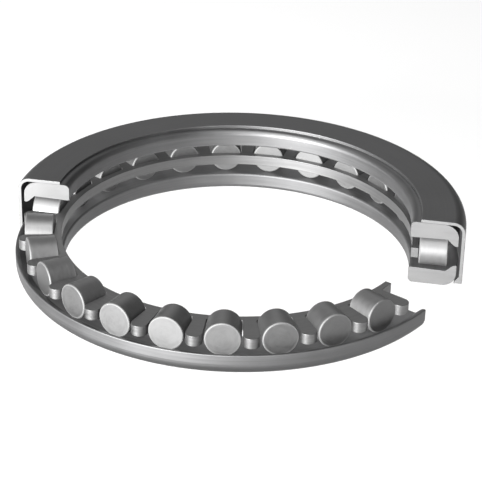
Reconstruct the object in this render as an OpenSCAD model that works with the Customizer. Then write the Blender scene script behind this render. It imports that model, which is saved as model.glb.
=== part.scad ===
// Tapered roller thrust bearing, sectioned so that its rollers and cage lie open.
// The bearing stands on its lower washer, with its axis along Z and the section plane on X.

/* [Washers] */
// Diameter of the bore through both washers
bore_d = 150; // [120:1:220]
// Thickness of a washer under the outer end of its raceway
washer_floor = 6.9; // [5:0.1:10]
// Width from the rollers' big ends to the washers' outside
rib_w = 4.4; // [4:0.1:8]
// Height of the rib above the raceway
rib_h = 3.05; // [2:0.05:4]
// Slope of the rib's inner flank above the raceway, in degrees
flank_angle = 44; // [35:1:60]
// Radius between the rib's flank and its flat top
crest_r = 2.8; // [0.5:0.1:3]
// Radius in the corner between raceway and rib
root_r = 0.5; // [0.2:0.1:1]
// Large radius at the washers' outside, away from the rollers
shoulder_r = 6; // [3:0.1:6.5]
// Radius at the bore's end, away from the rollers
bore_edge_r = 2; // [0.5:0.1:3]
// Radius between bore and raceway
race_edge_r = 0.9; // [0.2:0.1:1.5]
// How far the flank's foot lies inside the rollers' big ends, under their round edges
flank_tuck = 0.3; // [0:0.05:0.3]

/* [Rollers] */
// Rollers in a full ring
roller_n = 25; // [20:1:26]
// Diameter of a roller at its big end
roller_d = 14.85; // [12:0.05:18]
// Length of a roller
roller_len = 12.3; // [9:0.1:15]
// Angle between a roller's side and its axis, in degrees
roller_taper = 1.5; // [0.5:0.1:3]
// Radius of a roller's edges
roller_edge_r = 0.6; // [0.2:0.1:1]
// Gap between a roller and each raceway
race_gap = 0.12; // [0.05:0.01:0.3]

/* [Cage] */
// Height of the cage
cage_h = 4.6; // [3:0.1:6]
// How far the cage's middle lies below the rollers' axes
cage_drop = 0.25; // [0:0.05:1]
// Radial thickness of the cage's ring
cage_ring_w = 2.8; // [2:0.1:5]
// How far the cage's ring stands back from the bore
cage_setback = 0.7; // [0.3:0.1:2]
// Gap between the cage's ring and the rollers' small ends
small_end_gap = 0.4; // [0.2:0.1:1]
// Gap beside a roller at its small end
pocket_root_gap = 0.2; // [0.1:0.05:0.5]
// Gap beside a roller at its big end
pocket_mouth_gap = 0.6; // [0.3:0.05:1]
// How far the prongs reach past the rollers' big ends
prong_reach = 2.7; // [2:0.1:3]
// Radius in the pockets' inner corners
pocket_corner_r = 1; // [0.5:0.1:1.5]

/* [Cover] */
// Thickness of the cover's sheet
sheet = 1.4; // [0.8:0.1:2]
// Gap between the washers' outside and the cover's wall
cover_gap = 1.2; // [0.6:0.1:2]
// Outer radius of the cover's bend
bend_r = 5.1; // [4:0.1:7]
// Width of the cover's flat top, from its inner edge to its outer wall
cover_top_w = 19.1; // [14:0.1:20]
// Height of the cover's lower edge above the ground that the bearing stands on
cover_lift = 1.5; // [0.8:0.1:3]
// How far the lip at the lower edge reaches in from the wall
lip_reach = 2; // [1.3:0.1:2.2]
// Height of the lip where it meets the wall
lip_h = 3.4; // [2:0.1:4]
// Height of the lip's inner end
lip_end_h = 0.4; // [0.3:0.1:1]

/* [Section] */
// Angle that is left of the upper washer and its cover
upper_span = 180; // [90:5:330]
// Angle that is taken out of the lower washer and the cage, in front of the section plane
sector = 25; // [10:1:90]
// Angle from the section plane to the first roller behind it
first_roller = 4; // [0:0.5:6]

/* [Hidden] */
$fn = 180;
roller_pitch = 360 / roller_n;
lower_span = 360 - sector;
bore_r = bore_d / 2;
cage_in_r = bore_r + cage_setback;
pocket_floor_r = cage_in_r + cage_ring_w;
small_end_r = pocket_floor_r + small_end_gap;
big_end_r = small_end_r + roller_len;
washer_r = big_end_r + rib_w;
roller_big_r = roller_d / 2;
roller_small_r = roller_big_r - roller_len * tan(roller_taper);
axis_z = washer_floor + race_gap + roller_big_r;
washers_h = 2 * axis_z;
flank_r = big_end_r - flank_tuck;
rib_top_z = washer_floor + rib_h;
rib_crest_r = flank_r + rib_h / tan(flank_angle);
edge_break = 0.4;
cage_low_z = axis_z - cage_drop - cage_h / 2;
wall_in_r = washer_r + cover_gap;
wall_out_r = wall_in_r + sheet;
cover_in_r = wall_out_r - cover_top_w;
cover_top_z = washers_h + sheet;
overlap = 5;
arc_ease = 0.005;
spandrel_spare = 0.3;
prong_spare = 0.06;
// A roller is kept when all of it is clear of the sector that is taken out
roller_half_angle = asin(roller_big_r / big_end_r);
roller_angles = [
    for (i = [0 : roller_n - 1])
        let (a = first_roller + i * roller_pitch)
            if (a + roller_half_angle < lower_span) a
];
// A prong is kept when its middle is clear of that sector, so that its root is on the ring
prong_angles = [
    for (a = roller_angles)
        let (middle = a + roller_pitch / 2)
            if (middle < lower_span) middle
];
last_prong_angle = prong_angles[len(prong_angles) - 1];
function roller_name(i) = str("roller_", i < 10 ? "0" : "", i);

// Height of the lower raceway at a radius
function race_z(r) = washer_floor + (flank_r - r) * tan(roller_taper);

// Direction from one point to another
function toward(from, to) = (to - from) / norm(to - from);

// What lies between a corner and an arc of radius r that rounds it.
// The next points on the corner's sides are a and b. The shape reaches past the corner, and the arc meets
// the sides at a small angle.
module corner_spandrel(corner, a, b, r) {
    u = toward(corner, a);
    v = toward(corner, b);
    half = acos(u * v) / 2;
    centre = corner + toward([0, 0], u + v) * r / sin(half);
    reach = r / tan(half);
    grow = 1 + spandrel_spare / r;
    difference() {
        polygon([
            for (p = [centre, corner + u * reach, corner, corner + v * reach])
                centre + grow * (p - centre)
        ]);
        translate(centre) circle(r + arc_ease);
    }
}

// Outline of the space over the lower raceway, with a round corner at the foot of the rib
module race_space(root, crest) {
    left = bore_r - overlap;
    race_inner = [left, race_z(left)];
    flank_end = root + 2 * (crest - root);
    difference() {
        polygon([root, flank_end, [left, flank_end.y], race_inner]);
        corner_spandrel(root, crest, race_inner, root_r);
    }
}

// Half section of the lower washer: x is the radius, y the height
module washer_section() {
    foot = [bore_r, 0];
    shoulder = [washer_r, 0];
    race_edge = [bore_r, race_z(bore_r)];
    rim = [washer_r, rib_top_z];
    crest = [rib_crest_r, rib_top_z];
    root = [flank_r, washer_floor];
    difference() {
        polygon([foot, shoulder, rim, [bore_r, rib_top_z]]);
        race_space(root, crest);
        corner_spandrel(foot, race_edge, shoulder, bore_edge_r);
        corner_spandrel(race_edge, foot, root, race_edge_r);
        corner_spandrel(shoulder, foot, rim, shoulder_r);
        corner_spandrel(rim, shoulder, crest, edge_break);
        corner_spandrel(crest, rim, root, crest_r);
    }
}

module lower_washer() {
    color("gray")
        rotate_extrude(angle = lower_span)
            washer_section();
}

// The upper washer has the lower one's section, turned over
module upper_washer() {
    color("silver")
        rotate_extrude(angle = upper_span)
            translate([0, washers_h])
                mirror([0, 1])
                    washer_section();
}

// Half section of the cover: a flat top, a bend, a wall and the lip at the wall's lower edge
module cover_section() {
    lip_r = wall_in_r - lip_reach;
    left = cover_in_r - overlap;
    below = cover_lift - overlap;
    inner_corner = [wall_in_r, washers_h];
    lip_root = [wall_in_r, cover_lift + lip_h];
    outer_corner = [wall_out_r, cover_top_z];
    difference() {
        translate([cover_in_r, cover_lift])
            square([cover_top_w, cover_top_z - cover_lift]);
        difference() {
            polygon([
                [left, washers_h], inner_corner, lip_root,
                [lip_r, cover_lift + lip_end_h], [lip_r, below], [left, below]
            ]);
            corner_spandrel(inner_corner, [left, washers_h], lip_root, bend_r - sheet);
        }
        corner_spandrel(outer_corner, [cover_in_r, cover_top_z], [wall_out_r, cover_lift], bend_r);
    }
}

module cover() {
    color("lightgray")
        rotate_extrude(angle = upper_span)
            cover_section();
}

// Half the width of a cage pocket, at a distance from the bearing's axis along the roller's axis
mouth_half = roller_big_r + pocket_mouth_gap;
root_half = roller_small_r + pocket_root_gap;
pocket_slope = (mouth_half - root_half) / (big_end_r - small_end_r);
function pocket_half(x) = root_half + pocket_slope * (x - small_end_r);

// Outline of one pocket, with its roller's axis along X and a flat floor with round corners
module pocket() {
    far = washer_r + overlap;
    floor_corner = [pocket_floor_r, pocket_half(pocket_floor_r)];
    mouth_corner = [far, pocket_half(far)];
    difference() {
        polygon([
            [floor_corner.x, -floor_corner.y], [mouth_corner.x, -mouth_corner.y],
            mouth_corner, floor_corner
        ]);
        for (side = [0, 1])
            mirror([0, side])
                corner_spandrel(floor_corner, [pocket_floor_r, 0], mouth_corner, pocket_corner_r);
    }
}

// Outline of the free space beside a pocket that has no prong there, from its corner to the next place
module free_side() {
    far = washer_r + overlap;
    corner_y = pocket_half(pocket_floor_r) - pocket_corner_r - spandrel_spare;
    side_slope = tan(roller_pitch / 2);
    polygon([
        [pocket_floor_r, corner_y], [far, corner_y],
        [far, far * side_slope], [pocket_floor_r, pocket_floor_r * side_slope]
    ]);
}

// One prong with a round end, along X: its sides are cut by the pockets beside it
module prong_blank() {
    half_pitch = roller_pitch / 2;
    side_at = function(x) [
        x * cos(half_pitch) + pocket_half(x) * sin(half_pitch),
        x * sin(half_pitch) - pocket_half(x) * cos(half_pitch)
    ];
    near = side_at(small_end_r);
    wide = side_at(big_end_r);
    slope = (wide.y - near.y) / (wide.x - near.x);
    lean = atan(slope);
    tip_r = big_end_r + prong_reach;
    tangent_r = (near.y + slope * (tip_r - near.x)) * cos(lean) / (1 + slope * cos(lean));
    end_r = tangent_r + 2 * prong_spare;
    end_x = tip_r - end_r;
    root_x = cage_in_r + cage_ring_w / 2;
    blank_w = 2 * (tangent_r + prong_spare);
    translate([root_x, -blank_w / 2]) square([end_x - root_x, blank_w]);
    translate([end_x, 0]) circle(end_r);
}

// Outline of the sector that is taken out in front of the section plane
module sector_outline() {
    far = 2 * washer_r;
    polygon([[0, 0], far * [cos(lower_span), sin(lower_span)], [far, 0]]);
}

module cage() {
    ring_out_r = (pocket_floor_r + pocket_corner_r) / cos(roller_pitch / 2);
    color("dimgray")
        translate([0, 0, cage_low_z])
            linear_extrude(cage_h)
                difference() {
                    union() {
                        circle(ring_out_r);
                        for (a = prong_angles)
                            rotate(a) prong_blank();
                    }
                    circle(cage_in_r);
                    sector_outline();
                    for (i = [0 : roller_n - 1])
                        rotate(first_roller + i * roller_pitch) pocket();
                    rotate(first_roller) mirror([0, 1]) free_side();
                    rotate(last_prong_angle + roller_pitch / 2) free_side();
                }
}

// A roller at its angle round the bearing, with its big end outward
module roller(i) {
    small_edge = [roller_small_r, 0];
    big_edge = [roller_big_r, roller_len];
    color("darkgray")
        rotate(roller_angles[i - 1])
            translate([small_end_r, 0, axis_z])
                rotate([0, 90, 0])
                    rotate_extrude()
                        difference() {
                            polygon([[0, 0], small_edge, big_edge, [0, roller_len]]);
                            corner_spandrel(small_edge, [0, 0], big_edge, roller_edge_r);
                            corner_spandrel(big_edge, small_edge, [0, roller_len], roller_edge_r);
                        }
}

lower_washer();
upper_washer();
cover();
cage();
for (i = [1 : len(roller_angles)])
    roller(i);
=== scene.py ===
import math
from collections import namedtuple

import bpy
from mathutils import Matrix, Vector


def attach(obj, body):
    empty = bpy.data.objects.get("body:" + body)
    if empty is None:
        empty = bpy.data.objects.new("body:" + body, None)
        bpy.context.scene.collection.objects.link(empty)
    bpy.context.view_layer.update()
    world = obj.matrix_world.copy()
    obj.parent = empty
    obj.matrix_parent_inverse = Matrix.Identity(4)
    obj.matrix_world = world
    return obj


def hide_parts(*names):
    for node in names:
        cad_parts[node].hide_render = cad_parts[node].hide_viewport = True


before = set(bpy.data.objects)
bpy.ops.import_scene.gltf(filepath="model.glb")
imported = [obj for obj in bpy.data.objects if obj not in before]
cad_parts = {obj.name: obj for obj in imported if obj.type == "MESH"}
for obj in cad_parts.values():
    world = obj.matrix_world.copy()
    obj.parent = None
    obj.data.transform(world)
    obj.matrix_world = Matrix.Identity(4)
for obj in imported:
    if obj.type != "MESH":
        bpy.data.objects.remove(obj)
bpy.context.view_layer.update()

MM = 0.001
TINY = 1e-6
DECIMALS = 6

# Sizes in millimetres and degrees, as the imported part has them

# Washers
BORE_R = 75.0
WASHER_FLOOR = 6.9  # thickness under the outer end of the raceway
RIB_W = 4.4  # from the rollers' big ends to the outside
RIB_H = 3.05  # above the raceway
FLANK_ANGLE = 44.0  # slope of the rib's inner flank
CREST_R = 2.8  # between the flank and the rib's flat top
ROOT_R = 0.5  # in the corner between raceway and rib
SHOULDER_R = 6.0  # the large fillet outside, away from the rollers
BORE_EDGE_R = 2.0  # at the bore's end, away from the rollers
RACE_EDGE_R = 0.9  # between bore and raceway
EDGE_BREAK = 0.4  # at the rib's outer edge
FLANK_TUCK = 0.3  # how far the flank's foot lies inside the rollers' big ends

# Rollers
ROLLER_N = 25  # places in a full ring
ROLLERS = 23  # those clear of the open sector
ROLLER_D = 14.85  # at the big end
ROLLER_LEN = 12.3
ROLLER_TAPER = math.radians(1.5)  # between a roller's side and its axis
ROLLER_EDGE_R = 0.6
RACE_GAP = 0.12  # between a roller and each raceway

# Cage
CAGE_H = 4.6
CAGE_DROP = 0.25  # its middle lies this far below the rollers' axes
CAGE_RING_W = 2.8
CAGE_SETBACK = 0.7  # from the bore to the cage's ring
SMALL_END_GAP = 0.4  # between the ring and the rollers' small ends
POCKET_ROOT_GAP = 0.2  # beside a roller at its small end
POCKET_MOUTH_GAP = 0.6  # beside a roller at its big end
PRONG_REACH = 2.7  # past the rollers' big ends
POCKET_CORNER_R = 1.0

# Cover
SHEET = 1.4
COVER_GAP = 1.2  # between the washers' outside and the wall
BEND_R = 5.1  # outside of the bend
COVER_TOP_W = 19.1  # from the inner edge to the wall's outside
COVER_LIFT = 1.5  # height of the lower edge above the floor
LIP_REACH = 2.0  # in from the wall
LIP_H = 3.4  # where the lip meets the wall
LIP_END_H = 0.4  # at its inner end

# Section: the rings go round from +X
UPPER_SPAN = 180.0
SECTOR = 25.0  # taken out of the lower washer and the cage
FIRST_ROLLER = 4.0  # from +X to the first roller

# What follows from them
ROLLER_PITCH = 360 / ROLLER_N
LOWER_SPAN = 360 - SECTOR
CAGE_IN_R = BORE_R + CAGE_SETBACK
POCKET_FLOOR_R = CAGE_IN_R + CAGE_RING_W
SMALL_END_R = POCKET_FLOOR_R + SMALL_END_GAP
BIG_END_R = SMALL_END_R + ROLLER_LEN
WASHER_R = BIG_END_R + RIB_W
ROLLER_BIG_R = ROLLER_D / 2
ROLLER_SMALL_R = ROLLER_BIG_R - ROLLER_LEN * math.tan(ROLLER_TAPER)
AXIS_Z = WASHER_FLOOR + RACE_GAP + ROLLER_BIG_R
WASHERS_H = 2 * AXIS_Z
FLANK_R = BIG_END_R - FLANK_TUCK
RIB_TOP_Z = WASHER_FLOOR + RIB_H
WALL_IN_R = WASHER_R + COVER_GAP
WALL_OUT_R = WALL_IN_R + SHEET
COVER_IN_R = WALL_OUT_R - COVER_TOP_W

# Fine edges that only the visual model has
CUT_EDGE = 0.14
SHEET_CUT_EDGE = 0.1
CAGE_EDGE = 0.18
SHEET_EDGE_R = 0.2
SHEET_IN_EDGE_R = 0.12
LIP_EDGE_R = 0.1

# How far a worn strip reaches from its edge, and how much of a side it may take. Short sides have no strip.
WORN_W = 0.25
WORN_SHARE = 0.3
SHORT_SIDE = 0.3

# How finely the round forms are cut
LOWER_CUTS = 400
UPPER_CUTS = 220
CAGE_BORE_CUTS = 330
ROLLER_CUTS = 96
QUARTER_CUTS = 10
SHEET_QUARTER_CUTS = 14
SMALL_QUARTER_CUTS = 8

# The radius at which CUT_EDGE is measured round the ring
MIDDLE_R = 85.0

# Degrees from upright that the normals lean where the upper washer's flat meets its bore edge
SOFT_LEAN = 28.0

# How near a point lies to a surface that it is on, and how fast the painted shade on the large fillet deepens
# with its slope
ON_SURFACE = 0.02
FILLET_PAINTED_SHADE_FADE = 1.6

# An arc just short of its full radius, so that two arcs that meet keep a side between them
NEARLY = 0.99999

# A normal this upright belongs to a flat face
UPRIGHT = 0.9999

# Material slots of a piece: its own surface, and its cut or end faces
OWN_SLOT = 0
FACE_SLOT = 1


# Outlines with exact normals. An outline is a list of runs, and where one run ends the next one starts.
# A run is a list of points (x, y, nx, ny, wear). A corner's arc goes from the angle first through turn, and
# its side is 1 where the corner stands out and -1 where it goes in.
Corner = namedtuple("Corner", "start end centre radius first turn side")


def unit(x, y):
    n = math.hypot(x, y)
    return (x / n, y / n)


def corner_at(before, point, after, radius):
    """The corner at a point of an outline: the arc that rounds it, or for radius 0 the bare point."""
    if radius == 0:
        return Corner(point, point, None, 0, 0, 0, 0)
    u = unit(before[0] - point[0], before[1] - point[1])
    v = unit(after[0] - point[0], after[1] - point[1])
    half = math.acos(max(-1, min(1, u[0] * v[0] + u[1] * v[1]))) / 2
    reach = radius / math.tan(half)
    w = unit(u[0] + v[0], u[1] + v[1])
    centre = (point[0] + w[0] * radius / math.sin(half), point[1] + w[1] * radius / math.sin(half))
    start = (point[0] + u[0] * reach, point[1] + u[1] * reach)
    end = (point[0] + v[0] * reach, point[1] + v[1] * reach)
    first = math.atan2(start[1] - centre[1], start[0] - centre[0])
    last = math.atan2(end[1] - centre[1], end[0] - centre[0])
    turn = (last - first + math.pi) % (2 * math.pi) - math.pi
    return Corner(start, end, centre, radius, first, turn, 1 if turn > 0 else -1)


def arc_run(corner, quarter_cuts, wear):
    """The arc of a corner, with quarter_cuts steps in a quarter turn."""
    count = max(3, int(quarter_cuts * abs(corner.turn) / (math.pi / 2)) + 1)
    run = []
    for k in range(count + 1):
        a = corner.first + corner.turn * k / count
        c, s = math.cos(a), math.sin(a)
        run.append((corner.centre[0] + corner.radius * c, corner.centre[1] + corner.radius * s,
                    c * corner.side, s * corner.side, wear))
    return run


def side_run(p, q, wear_p, wear_q):
    """The straight side from p to q, with a point more near each end, where a worn strip stops."""
    length = math.hypot(q[0] - p[0], q[1] - p[1])
    along = unit(q[0] - p[0], q[1] - p[1])
    strip = min(WORN_W, WORN_SHARE * length) / length
    cuts = [0, strip, 1 - strip, 1] if length > SHORT_SIDE else [0, 1]
    wear = {0: wear_p, 1: wear_q}
    return [(p[0] + (q[0] - p[0]) * k, p[1] + (q[1] - p[1]) * k, along[1], -along[0], wear.get(k, 0.0))
            for k in cuts]


def rounded(points, radii, quarter_cuts=QUARTER_CUTS, wear_below=3.0):
    """Runs of a closed outline, counter-clockwise, whose corners are arcs of the given radii.

    Sharp corners are worn, and so are those that stand out with a radius under wear_below."""
    def worn(corner):
        sharp = corner.centre is None
        return 1.0 if sharp or (corner.side > 0 and corner.radius < wear_below) else 0.0

    count = len(points)
    corners = [corner_at(points[i - 1], points[i], points[(i + 1) % count], radii[i]) for i in range(count)]
    runs = []
    for i, corner in enumerate(corners):
        if corner.centre is not None:
            runs.append(arc_run(corner, quarter_cuts, worn(corner)))
        following = corners[(i + 1) % count]
        p, q = corner.end, following.start
        if math.hypot(q[0] - p[0], q[1] - p[1]) > TINY:
            runs.append(side_run(p, q, worn(corner), worn(following)))
    return runs


def chain(runs):
    """The outline's points in order, each once, as (x, y, normal before it, normal after it, wear)."""
    out = []
    for i, run in enumerate(runs):
        before = runs[i - 1][-1]
        first = run[0]
        out.append((first[0], first[1], before[2:4], first[2:4], max(first[4], before[4])))
        for p in run[1:-1]:
            out.append((p[0], p[1], p[2:4], p[2:4], p[4]))
    return out


def inset(points, depth):
    """The chain's points moved inward by depth."""
    moved = []
    for x, y, before, after, _ in points:
        m = (before[0] + after[0], before[1] + after[1])
        scale = 2 / (m[0] ** 2 + m[1] ** 2)
        moved.append((x - m[0] * scale * depth, y - m[1] * scale * depth))
    return moved


# Meshes
def placed(name, data):
    """A new object in the scene that holds the data."""
    obj = bpy.data.objects.new(name, data)
    bpy.context.scene.collection.objects.link(obj)
    return obj


class Builder:
    """Collects vertices with their wear and finish, the latter partly painted light and shade, and faces with
    a normal for each of their corners.
    """

    def __init__(self):
        self.verts, self.wear, self.finish_and_painted_light = [], [], []
        self.faces, self.normals, self.slots = [], [], []

    def vert(self, x, y, z, wear=0.0, finish_and_painted_light=0.0):
        self.verts.append((x * MM, y * MM, z * MM))
        self.wear.append(wear)
        self.finish_and_painted_light.append(finish_and_painted_light)
        return len(self.verts) - 1

    def face(self, ids, normals, slot=OWN_SLOT):
        self.faces.append(ids)
        self.normals.extend(normals)
        self.slots.append(slot)

    def mesh(self, name, *materials):
        mesh = bpy.data.meshes.new(name)
        mesh.from_pydata(self.verts, [], self.faces)
        mesh.attributes.new("wear", "FLOAT", "POINT").data.foreach_set("value", self.wear)
        if any(self.finish_and_painted_light):
            mesh.attributes.new("finish_and_painted_light", "FLOAT", "POINT").data.foreach_set("value", self.finish_and_painted_light)
        for material in materials:
            mesh.materials.append(material)
        for polygon, slot in zip(mesh.polygons, self.slots):
            polygon.use_smooth = True
            polygon.material_index = slot
        mesh.normals_split_custom_set([Vector(n).normalized() for n in self.normals])
        return mesh


def ring(name, runs, span, cuts, materials, edge=CUT_EDGE, finish_and_painted_light=None):
    """The outline (radius, height) turned through span degrees from +X, in the first of the two materials.

    Each flat cut face is in the second one and has a finely broken edge. The last argument gives a point's
    finish, which is partly painted light or shade."""
    points = chain(runs)
    inner = inset(points, edge)
    n = len(points)
    span = math.radians(span)
    step = span / cuts
    lead = edge / MIDDLE_R
    angles = [0.0, lead] + [step * k for k in range(1, cuts)] + [span - lead, span]
    last = len(angles) - 1
    ends = {0: (0.0, -1.0, 0.0), last: (-math.sin(span), math.cos(span), 0.0)}
    build = Builder()
    rows = []
    for k, a in enumerate(angles):
        c, s = math.cos(a), math.sin(a)
        row = []
        for point, point_in in zip(points, inner):
            r, z = point_in if k in ends else point[:2]
            wear = 1.0 if k in (0, 1, last - 1, last) else point[4]
            row.append(build.vert(r * c, r * s, z, wear, finish_and_painted_light(point) if finish_and_painted_light else 0.0))
        rows.append(row)
    for k in range(last):
        for i in range(n):
            j = (i + 1) % n
            after, before = points[i][3], points[j][2]
            normals = []
            for row, (nr, nz) in ((k, after), (k + 1, after), (k + 1, before), (k, before)):
                c, s = math.cos(angles[row]), math.sin(angles[row])
                normals.append(ends.get(row, (nr * c, nr * s, nz)))
            build.face([rows[k][i], rows[k + 1][i], rows[k + 1][j], rows[k][j]], normals)
    build.face(rows[0], [ends[0]] * n, FACE_SLOT)
    build.face(rows[last][::-1], [ends[last]] * n, FACE_SLOT)
    return placed(name, build.mesh(name, *materials))


def plate(name, runs, low, height, material, edge=CAGE_EDGE):
    """The outline raised from low by height, with finely broken edges below and above."""
    points = chain(runs)
    inner = inset(points, edge)
    n = len(points)
    build = Builder()
    levels = ((inner, low), (points, low + edge), (points, low + height - edge), (inner, low + height))
    rows = [[build.vert(p[0], p[1], z, 1.0) for p in outline] for outline, z in levels]
    top = len(rows) - 1
    flat = {0: (0, 0, -1), top: (0, 0, 1)}
    for k in range(top):
        for i in range(n):
            j = (i + 1) % n
            after, before = points[i][3], points[j][2]
            normals = []
            for row, (nx, ny) in ((k, after), (k, before), (k + 1, before), (k + 1, after)):
                normals.append(flat.get(row, (nx, ny, 0)))
            build.face([rows[k][i], rows[k][j], rows[k + 1][j], rows[k + 1][i]], normals)
    build.face(rows[0][::-1], [flat[0]] * n)
    build.face(rows[top], [flat[top]] * n)
    return placed(name, build.mesh(name, material))


# Washers
def soft_edge(point):
    """Shades the upper washer's round bore edge smoothly into the flat beside it. The surface stays as it is.

    The normals lean over the edge's points. The flat's next point moves along it, out to the cover."""
    x, y, nx, ny, wear = point
    flat_start = BORE_R + BORE_EDGE_R
    if y < WASHERS_H - BORE_EDGE_R or x > flat_start + 2 * WORN_W or ny < TINY:
        return point
    if x > flat_start + WORN_W / 2:
        return (COVER_IN_R, y, nx, ny, wear)
    lean = math.degrees(math.atan2(-nx, ny))
    lean = math.radians(SOFT_LEAN + (90 - SOFT_LEAN) * lean / 90)
    return (x, y, -math.sin(lean), math.cos(lean), wear)


def washer_runs(turned=False):
    """The lower washer's outline (radius, height), or turned over for the upper one."""
    race_in = (BORE_R, WASHER_FLOOR + (FLANK_R - BORE_R) * math.tan(ROLLER_TAPER))
    crest = (FLANK_R + RIB_H / math.tan(math.radians(FLANK_ANGLE)), RIB_TOP_Z)
    points = [(BORE_R, 0), (WASHER_R, 0), (WASHER_R, RIB_TOP_Z), crest, (FLANK_R, WASHER_FLOOR), race_in]
    radii = [BORE_EDGE_R, SHOULDER_R, EDGE_BREAK, CREST_R, ROOT_R, RACE_EDGE_R]
    if turned:
        points = [(x, WASHERS_H - y) for x, y in points][::-1]
        radii = radii[::-1]
    runs = rounded(points, radii, wear_below=1.0)
    return [[soft_edge(p) for p in run] for run in runs] if turned else runs


def washer_finish_and_painted_light(point):
    """1 on the raceway, which is ground bright and is also painted lighter where it lies in shade between the
    rollers, and down to -1 on the large fillet, a painted shade that deepens as the fillet slopes.
    """
    r, z, before, after, _ = point
    z = min(z, WASHERS_H - z)
    if r < FLANK_R and abs(z - WASHER_FLOOR - (FLANK_R - r) * math.tan(ROLLER_TAPER)) < ON_SURFACE:
        return 1.0
    if r > WASHER_R - SHOULDER_R + ON_SURFACE and z < SHOULDER_R:
        return -min(1.0, FILLET_PAINTED_SHADE_FADE * abs(before[1] + after[1]) / 2)
    return 0.0


# Cover
def cover_runs():
    """The drawn sheet's outline: flat top, bend, wall, and the lip that tapers inward at its foot."""
    lip_r = WALL_IN_R - LIP_REACH
    corners = [((COVER_IN_R, WASHERS_H), SHEET_IN_EDGE_R),
               ((WALL_IN_R, WASHERS_H), BEND_R - SHEET),
               ((WALL_IN_R, COVER_LIFT + LIP_H), LIP_EDGE_R),
               ((lip_r, COVER_LIFT + LIP_END_H), LIP_EDGE_R),
               ((lip_r, COVER_LIFT), LIP_EDGE_R),
               ((WALL_OUT_R, COVER_LIFT), SHEET_EDGE_R),
               ((WALL_OUT_R, WASHERS_H + SHEET), BEND_R),
               ((COVER_IN_R, WASHERS_H + SHEET), SHEET_EDGE_R)]
    return rounded([p for p, _ in corners], [r for _, r in corners], SHEET_QUARTER_CUTS)


# Cage
def pocket_half(x):
    """Half a pocket's width at the distance x from the bearing's axis."""
    slope = (ROLLER_BIG_R + POCKET_MOUTH_GAP - ROLLER_SMALL_R - POCKET_ROOT_GAP) / ROLLER_LEN
    return ROLLER_SMALL_R + POCKET_ROOT_GAP + slope * (x - SMALL_END_R)


def cage_runs():
    """The comb cage seen from above: out and in round the prongs from +X, and back along the bore."""
    half_pitch = math.radians(ROLLER_PITCH) / 2
    span = math.radians(LOWER_SPAN)

    def at(place, x, y):
        """A point of the roller place's own frame."""
        a = math.radians(FIRST_ROLLER + place * ROLLER_PITCH)
        return (x * math.cos(a) - y * math.sin(a), x * math.sin(a) + y * math.cos(a))

    def side(x):
        """A point of a pocket's side in the frame of the prong beside it."""
        y = pocket_half(x)
        return (x * math.cos(half_pitch) + y * math.sin(half_pitch),
                x * math.sin(half_pitch) - y * math.cos(half_pitch))

    near, wide = side(SMALL_END_R), side(BIG_END_R)
    slope = (wide[1] - near[1]) / (wide[0] - near[0])
    lean = math.atan(slope)
    tip = BIG_END_R + PRONG_REACH
    end_r = (near[1] + slope * (tip - near[0])) * math.cos(lean) / (1 + slope * math.cos(lean))
    end_x = tip - end_r
    reach = end_r * (1 + math.sin(lean)) / math.cos(lean)
    points, radii = [], []

    def add(p, r=0):
        points.append(p)
        radii.append(r)

    def add_prong_end(a):
        """A round end, as two corners of its radius."""
        along = (math.cos(a), math.sin(a))
        across = (-math.sin(a), math.cos(a))
        for s in (-1, 1):
            add((end_x * along[0] + along[0] * end_r + across[0] * s * reach,
                 end_x * along[1] + along[1] * end_r + across[1] * s * reach), end_r * NEARLY)

    first_floor = POCKET_FLOOR_R / math.cos(math.radians(FIRST_ROLLER))
    add((CAGE_IN_R, 0))
    add((first_floor, 0))
    add(at(0, POCKET_FLOOR_R, pocket_half(POCKET_FLOOR_R)), POCKET_CORNER_R)
    for k in range(ROLLERS):
        add_prong_end(math.radians(FIRST_ROLLER + (k + 0.5) * ROLLER_PITCH))
        add(at(k + 1, POCKET_FLOOR_R, -pocket_half(POCKET_FLOOR_R)), POCKET_CORNER_R)
        if k < ROLLERS - 1:
            add(at(k + 1, POCKET_FLOOR_R, pocket_half(POCKET_FLOOR_R)), POCKET_CORNER_R)
    far_floor = POCKET_FLOOR_R / math.cos(math.radians(LOWER_SPAN - (FIRST_ROLLER + ROLLERS * ROLLER_PITCH)))
    add((far_floor * math.cos(span), far_floor * math.sin(span)))
    add((CAGE_IN_R * math.cos(span), CAGE_IN_R * math.sin(span)))
    runs = rounded(points, radii, SMALL_QUARTER_CUTS)

    # The last run goes straight back to the first point, and the ring's bore takes its place
    bore = []
    for k in range(CAGE_BORE_CUTS + 1):
        a = span * (1 - k / CAGE_BORE_CUTS)
        bore.append((CAGE_IN_R * math.cos(a), CAGE_IN_R * math.sin(a), -math.cos(a), -math.sin(a), 0.0))
    runs[-1] = bore
    return runs


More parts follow.
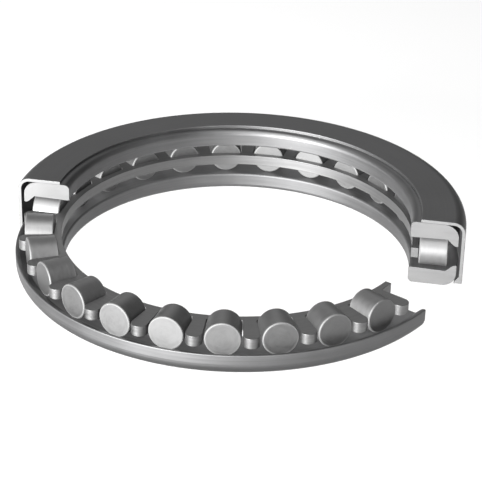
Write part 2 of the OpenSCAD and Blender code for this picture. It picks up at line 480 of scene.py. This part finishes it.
# Rollers
def roller_mesh(name, side_material, face_material):
    """A tapered roller along +Z with round edges, its small end at z 0."""
    outline = [(0, 0), (ROLLER_SMALL_R, 0), (ROLLER_BIG_R, ROLLER_LEN), (0, ROLLER_LEN)]
    runs = rounded(outline, [0, ROLLER_EDGE_R, ROLLER_EDGE_R, 0], SMALL_QUARTER_CUTS)
    angles = [2 * math.pi * k / ROLLER_CUTS for k in range(ROLLER_CUTS)]
    build = Builder()
    circles = {}

    def circle(p):
        """The vertices round the axis at a point of the outline. On the axis they are all the same one."""
        r, z, wear = p[0], p[1], p[4]
        key = (round(r, DECIMALS), round(z, DECIMALS))
        if key not in circles:
            if r < TINY:
                circles[key] = [build.vert(0, 0, z)] * ROLLER_CUTS
            else:
                circles[key] = [build.vert(r * math.cos(a), r * math.sin(a), z, wear) for a in angles]
        return circles[key]

    for run in runs:
        along_axis = max(p[0] for p in run) < TINY
        if along_axis:
            continue
        for p, q in zip(run, run[1:]):
            low, high = circle(p), circle(q)
            slot = FACE_SLOT if abs(p[3]) > UPRIGHT and abs(q[3]) > UPRIGHT else OWN_SLOT
            for k in range(ROLLER_CUTS):
                beside = (k + 1) % ROLLER_CUTS
                ids, normals = [], []
                for row, point, place in ((low, p, k), (high, q, k), (high, q, beside), (low, p, beside)):
                    if ids and row[place] == ids[-1]:
                        continue
                    a = angles[place]
                    ids.append(row[place])
                    normals.append((point[2] * math.cos(a), point[2] * math.sin(a), point[3]))
                if ids[0] == ids[-1]:
                    ids, normals = ids[:-1], normals[:-1]
                build.face(ids[::-1], normals[::-1], slot)
    return build.mesh(name, side_material, face_material)


# Materials
# Noise mostly keeps between these two values
NOISE_LOW, NOISE_HIGH = 0.25, 0.75

# Noise features per metre, for fine marks and broad clouds, and how far the marks' noise is stretched: round
# the axis for each radian, or straight along X, Y and Z
LINES_SCALE = 1400.0
LINES_DETAIL = 3.0
LINES_ROUGHNESS = 0.6
CLOUD_SCALE = 55.0
CLOUD_DETAIL = 4.0
STRETCH_ROUND = 0.0012
STRETCH_STRAIGHT = (0.05, 1.0, 1.0)

# How much the marks change the tone, and marks and clouds the roughness
LINES_TONE = 0.3
LINES_ROUGH = 0.1
CLOUD_ROUGH = 0.06

# Height of the marks in millimetres, and how much paler worn edges are
MARK_HEIGHT = 0.02
WORN_GAIN = 1.5
WORN_LIFT = 0.02

# Base colours of the steels, apart a little as in the picture, and a hair of blue on some of them. Part of
# the spread is painted light: the cut faces, the cut sheet and the rollers' sides are lighter copies of the
# same steel.
WASHER_GREY = 0.14
CUT_GREY = 0.147
SHEET_CUT_GREY = 0.16
SHEET_GREY = 0.130
CAGE_GREY = 0.136
BARREL_GREY = 0.207
FACE_GREY = 0.158
BLUER = 1.01


def plain(grey):
    return (grey, grey, grey)


def bluish(grey):
    return (grey, grey, grey * BLUER)


def steel(name, colour, rough, turned=True, marks=0.5, blotch=0.06, worn=0.35, edge_rough=-0.04,
          finish_and_painted_light_share=0.0):
    """Steel with fine marks and faint clouds. Its worn edges are paler, and rougher by edge_rough.

    The marks run round the piece's own Z axis if it is turned, and else along X. Vertices whose finish is 1
    or -1 are brighter or darker by the share that the last argument gives: painted light and painted shade,
    partly a real ground finish."""
    mat = bpy.data.materials.new(name)
    mat.use_nodes = True
    nodes, links = mat.node_tree.nodes, mat.node_tree.links
    nodes.clear()

    def calc(operation, a, b=None):
        """A math node on the socket a and, where given, the socket or number b."""
        m = nodes.new("ShaderNodeMath")
        m.operation = operation
        links.new(a, m.inputs[0])
        if isinstance(b, float):
            m.inputs[1].default_value = b
        elif b is not None:
            links.new(b, m.inputs[1])
        return m.outputs[0]

    def noise(vector, scale, detail):
        n = nodes.new("ShaderNodeTexNoise")
        n.inputs["Scale"].default_value = scale
        n.inputs["Detail"].default_value = detail
        links.new(vector, n.inputs["Vector"])
        return n

    def spread(source, low, high, source_low=NOISE_LOW, source_high=NOISE_HIGH):
        """Maps a socket's values to the range from low to high."""
        r = nodes.new("ShaderNodeMapRange")
        r.inputs["From Min"].default_value = source_low
        r.inputs["From Max"].default_value = source_high
        r.inputs["To Min"].default_value = low
        r.inputs["To Max"].default_value = high
        links.new(source, r.inputs["Value"])
        return r.outputs["Result"]

    def vertex_value(attribute):
        a = nodes.new("ShaderNodeAttribute")
        a.attribute_name = attribute
        return a.outputs["Fac"]

    def mix(blend, factor, a, b):
        """A colour mix of two colours, each a socket or a value, by a socket or a number."""
        m = nodes.new("ShaderNodeMix")
        m.data_type = "RGBA"
        m.blend_type = blend
        for socket, value in (("Factor", factor), ("A", a), ("B", b)):
            if isinstance(value, bpy.types.NodeSocket):
                links.new(value, m.inputs[socket])
            else:
                m.inputs[socket].default_value = value
        return m.outputs["Result"]

    out = nodes.new("ShaderNodeOutputMaterial")
    bsdf = nodes.new("ShaderNodeBsdfPrincipled")
    bsdf.inputs["Metallic"].default_value = 1.0
    links.new(bsdf.outputs["BSDF"], out.inputs["Surface"])
    coord = nodes.new("ShaderNodeTexCoord").outputs["Object"]

    # Where the marks' noise is read: nearly the same all the way along a mark
    if turned:
        sep = nodes.new("ShaderNodeSeparateXYZ")
        links.new(coord, sep.inputs["Vector"])
        x, y = sep.outputs["X"], sep.outputs["Y"]
        comb = nodes.new("ShaderNodeCombineXYZ")
        links.new(calc("SQRT", calc("ADD", calc("MULTIPLY", x, x), calc("MULTIPLY", y, y))), comb.inputs["X"])
        links.new(calc("MULTIPLY", calc("ARCTAN2", y, x), STRETCH_ROUND), comb.inputs["Y"])
        links.new(sep.outputs["Z"], comb.inputs["Z"])
        lined = comb.outputs["Vector"]
    else:
        scale = nodes.new("ShaderNodeMapping")
        scale.inputs["Scale"].default_value = STRETCH_STRAIGHT
        links.new(coord, scale.inputs["Vector"])
        lined = scale.outputs["Vector"]
    line_noise = noise(lined, LINES_SCALE, LINES_DETAIL)
    line_noise.inputs["Roughness"].default_value = LINES_ROUGHNESS
    lines = line_noise.outputs["Fac"]
    cloud = noise(coord, CLOUD_SCALE, CLOUD_DETAIL).outputs["Fac"]
    wear = vertex_value("wear")

    # Colour
    tone = calc("MULTIPLY", spread(cloud, 1 - blotch, 1 + blotch),
                spread(lines, 1 - LINES_TONE * marks, 1 + LINES_TONE * marks))
    # Painted light and shade: the finish lifts the washers' raceways and darkens their large fillets in the
    # base colour
    if finish_and_painted_light_share:
        tone = calc("MULTIPLY", tone, spread(vertex_value("finish_and_painted_light"), 1 - finish_and_painted_light_share, 1 + finish_and_painted_light_share, -1.0, 1.0))
    grey = nodes.new("ShaderNodeCombineColor")
    for channel in ("Red", "Green", "Blue"):
        links.new(tone, grey.inputs[channel])
    toned = mix("MULTIPLY", 1.0, (*colour, 1), grey.outputs["Color"])
    paler = (*[WORN_GAIN * c + WORN_LIFT for c in colour], 1)
    links.new(mix("MIX", calc("MULTIPLY", wear, worn), toned, paler), bsdf.inputs["Base Color"])

    # Roughness
    uneven = calc("MULTIPLY", spread(lines, rough * (1 - LINES_ROUGH), rough * (1 + LINES_ROUGH)),
                  spread(cloud, 1 - CLOUD_ROUGH, 1 + CLOUD_ROUGH))
    links.new(calc("ADD", uneven, calc("MULTIPLY", wear, edge_rough)), bsdf.inputs["Roughness"])

    # Relief
    relief = nodes.new("ShaderNodeBump")
    relief.inputs["Strength"].default_value = marks
    relief.inputs["Distance"].default_value = MARK_HEIGHT * MM
    links.new(lines, relief.inputs["Height"])
    links.new(relief.outputs["Normal"], bsdf.inputs["Normal"])
    return mat


# The high edge_rough keeps the rollers' round edges matt, so that no bright line rings them
# The washers' finish paints light on their raceways and shade on their large fillets
washer_mat = steel("ground_steel", bluish(WASHER_GREY), rough=0.54, worn=0.2, edge_rough=0.08,
                   finish_and_painted_light_share=0.55)
cut_mat = steel("sectioned_steel", plain(CUT_GREY), rough=0.58, turned=False, marks=0.3)
sheet_cut_mat = steel("sectioned_sheet", plain(SHEET_CUT_GREY), rough=0.58, turned=False, marks=0.3)
cover_mat = steel("drawn_sheet", bluish(SHEET_GREY), rough=0.56, marks=0.4, blotch=0.08)
cage_mat = steel("machined_cage", plain(CAGE_GREY), rough=0.53, marks=1.0)
barrel_mat = steel("honed_roller", plain(BARREL_GREY), rough=0.54, marks=0.25, worn=0.12, edge_rough=0.2)
face_mat = steel("roller_face", plain(FACE_GREY), rough=0.56, marks=0.3, worn=0.12, edge_rough=0.2)

# Rings and cage
lower = ring("lower_ring", washer_runs(), LOWER_SPAN, LOWER_CUTS, (washer_mat, cut_mat), finish_and_painted_light=washer_finish_and_painted_light)
upper = ring("upper_ring", washer_runs(True), UPPER_SPAN, UPPER_CUTS, (washer_mat, cut_mat),
             finish_and_painted_light=washer_finish_and_painted_light)
shroud = ring("shroud", cover_runs(), UPPER_SPAN, UPPER_CUTS, (cover_mat, sheet_cut_mat), SHEET_CUT_EDGE)
comb = plate("comb_cage", cage_runs(), AXIS_Z - CAGE_DROP - CAGE_H / 2, CAGE_H, cage_mat)
for obj, body, node, slot in ((lower, "lower", "lower_washer", "washer_steel"),
                              (upper, "upper", "upper_washer", "washer_steel"),
                              (shroud, "upper", "cover", "cover_sheet"),
                              (comb, "cage", "cage", "cage_steel")):
    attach(obj, body)
    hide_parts(node)

# Rollers, each turned on its own axis by another angle, in radians, so that their marks differ
MARKS_TURN = 1.1
barrel = roller_mesh("roller_barrel", barrel_mat, face_mat)
for i in range(ROLLERS):
    node = f"roller_{i + 1:02d}"
    obj = placed(f"barrel_{i + 1:02d}", barrel)
    round_bearing = Matrix.Rotation(math.radians(FIRST_ROLLER + i * ROLLER_PITCH), 4, "Z")
    small_end = Matrix.Translation((SMALL_END_R * MM, 0, AXIS_Z * MM))
    lying = Matrix.Rotation(math.pi / 2, 4, "Y")
    obj.matrix_world = round_bearing @ small_end @ lying @ Matrix.Rotation(i * MARKS_TURN, 4, "Z")
    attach(obj, node)
    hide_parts(node)

# Camera, fitted to the photograph: focal length in its pixels, distance in the cover's outer radii, which is
# in metres, and angles in radians. The sensor is in millimetres.
OUTER_R = 0.0982
PICTURE_W = 482
FOCAL_PX = 1864.03
DISTANCE = 8.2963
ELEVATION = 0.4920
YAW, TILT, ROLL = -0.0022, 0.0130, 0.0207
ROUND = math.radians(10.59)
SENSOR_W = 36
NEAR_CLIP, FAR_CLIP = 0.01, 20

back = Vector((0, -math.cos(ELEVATION), math.sin(ELEVATION)))
right = Vector((1, 0, 0))
base = Matrix((right, back.cross(right), back))
yawed = Matrix(((math.cos(YAW), 0, -math.sin(YAW)), (0, 1, 0), (math.sin(YAW), 0, math.cos(YAW))))
tilted = Matrix(((1, 0, 0), (0, math.cos(TILT), math.sin(TILT)), (0, -math.sin(TILT), math.cos(TILT))))
rolled = Matrix(((math.cos(ROLL), math.sin(ROLL), 0), (-math.sin(ROLL), math.cos(ROLL), 0), (0, 0, 1)))
view_rows = rolled @ tilted @ yawed @ base
round_z = Matrix.Rotation(ROUND, 3, "Z")
cam_data = bpy.data.cameras.new("camera")
cam_data.sensor_width = SENSOR_W
cam_data.lens = FOCAL_PX * SENSOR_W / PICTURE_W
cam_data.clip_start = NEAR_CLIP
cam_data.clip_end = FAR_CLIP
cam = placed("camera", cam_data)
cam.matrix_world = Matrix.Translation(round_z @ (back * DISTANCE * OUTER_R)) \
    @ (round_z @ view_rows.transposed()).to_4x4()
bpy.context.scene.camera = cam

# Floor, just under the bearing. Rays that see it, straight or in the metal, also get its own glow.
FLOOR_HALF = 12.0
FLOOR_DROP = 0.0002
FLOOR_GREY = 0.8
FLOOR_GLOW = 0.19
WORLD_LIGHT = 0.19

floor_corners = [(x * FLOOR_HALF, y * FLOOR_HALF, 0) for x, y in ((-1, -1), (1, -1), (1, 1), (-1, 1))]
floor_mesh = bpy.data.meshes.new("studio_floor")
floor_mesh.from_pydata(floor_corners, [], [(0, 1, 2, 3)])
floor = placed("studio_floor", floor_mesh)
floor.location = (0, 0, -FLOOR_DROP)
floor_mat = bpy.data.materials.new("pale_floor")
floor_mat.use_nodes = True
nodes, links = floor_mat.node_tree.nodes, floor_mat.node_tree.links
nodes.clear()
path = nodes.new("ShaderNodeLightPath")
seen = path.outputs["Is Camera Ray"]
for ray in ("Is Glossy Ray", "Is Transmission Ray"):
    either = nodes.new("ShaderNodeMath")
    either.operation = "MAXIMUM"
    links.new(seen, either.inputs[0])
    links.new(path.outputs[ray], either.inputs[1])
    seen = either.outputs[0]
power = nodes.new("ShaderNodeMath")
power.operation = "MULTIPLY"
power.inputs[1].default_value = FLOOR_GLOW
links.new(seen, power.inputs[0])
glow = nodes.new("ShaderNodeEmission")
links.new(power.outputs[0], glow.inputs["Strength"])
matt = nodes.new("ShaderNodeBsdfDiffuse")
matt.inputs["Color"].default_value = (*plain(FLOOR_GREY), 1)
both = nodes.new("ShaderNodeAddShader")
links.new(matt.outputs[0], both.inputs[0])
links.new(glow.outputs[0], both.inputs[1])
links.new(both.outputs[0], nodes.new("ShaderNodeOutputMaterial").inputs["Surface"])
floor_mesh.materials.append(floor_mat)

# World
world = bpy.data.worlds.new("studio")
bpy.context.scene.world = world
world.use_nodes = True
background = world.node_tree.nodes["Background"]
background.inputs["Color"].default_value = (1, 1, 1, 1)
background.inputs["Strength"].default_value = WORLD_LIGHT

# Lamps, each as name, degrees round from the camera's side (positive to its right), degrees up, width and
# height in metres, watts, and whether it casts a shadow. Most of the key casts none, as in the picture.
LAMP_DISTANCE = 2.2
LAMPS = (("key_fill", -38.5, 5.5, (1.1, 0.4), 192, False),
         ("key", -39, 9, (1.05, 0.5), 26, True),
         ("back", 180, 33, (1.2, 1.2), 4, False),
         ("high", -30, 56, (0.9, 0.6), 33, False))


def softbox(name, azimuth, elevation, size, watts, shadow):
    """A soft box that faces the bearing."""
    a = math.radians(math.degrees(ROUND) - 90 + azimuth)
    e = math.radians(elevation)
    at = Vector((math.cos(a) * math.cos(e), math.sin(a) * math.cos(e), math.sin(e))) * LAMP_DISTANCE
    data = bpy.data.lights.new(name, "AREA")
    data.shape = "RECTANGLE"
    data.size, data.size_y = size
    data.energy = watts
    data.use_shadow = shadow
    lamp = placed(name, data)
    lamp.location = at
    lamp.rotation_mode = "QUATERNION"
    lamp.rotation_quaternion = at.to_track_quat("Z", "Y")


for lamp_values in LAMPS:
    softbox(*lamp_values)

bpy.context.scene.view_settings.view_transform = "Standard"
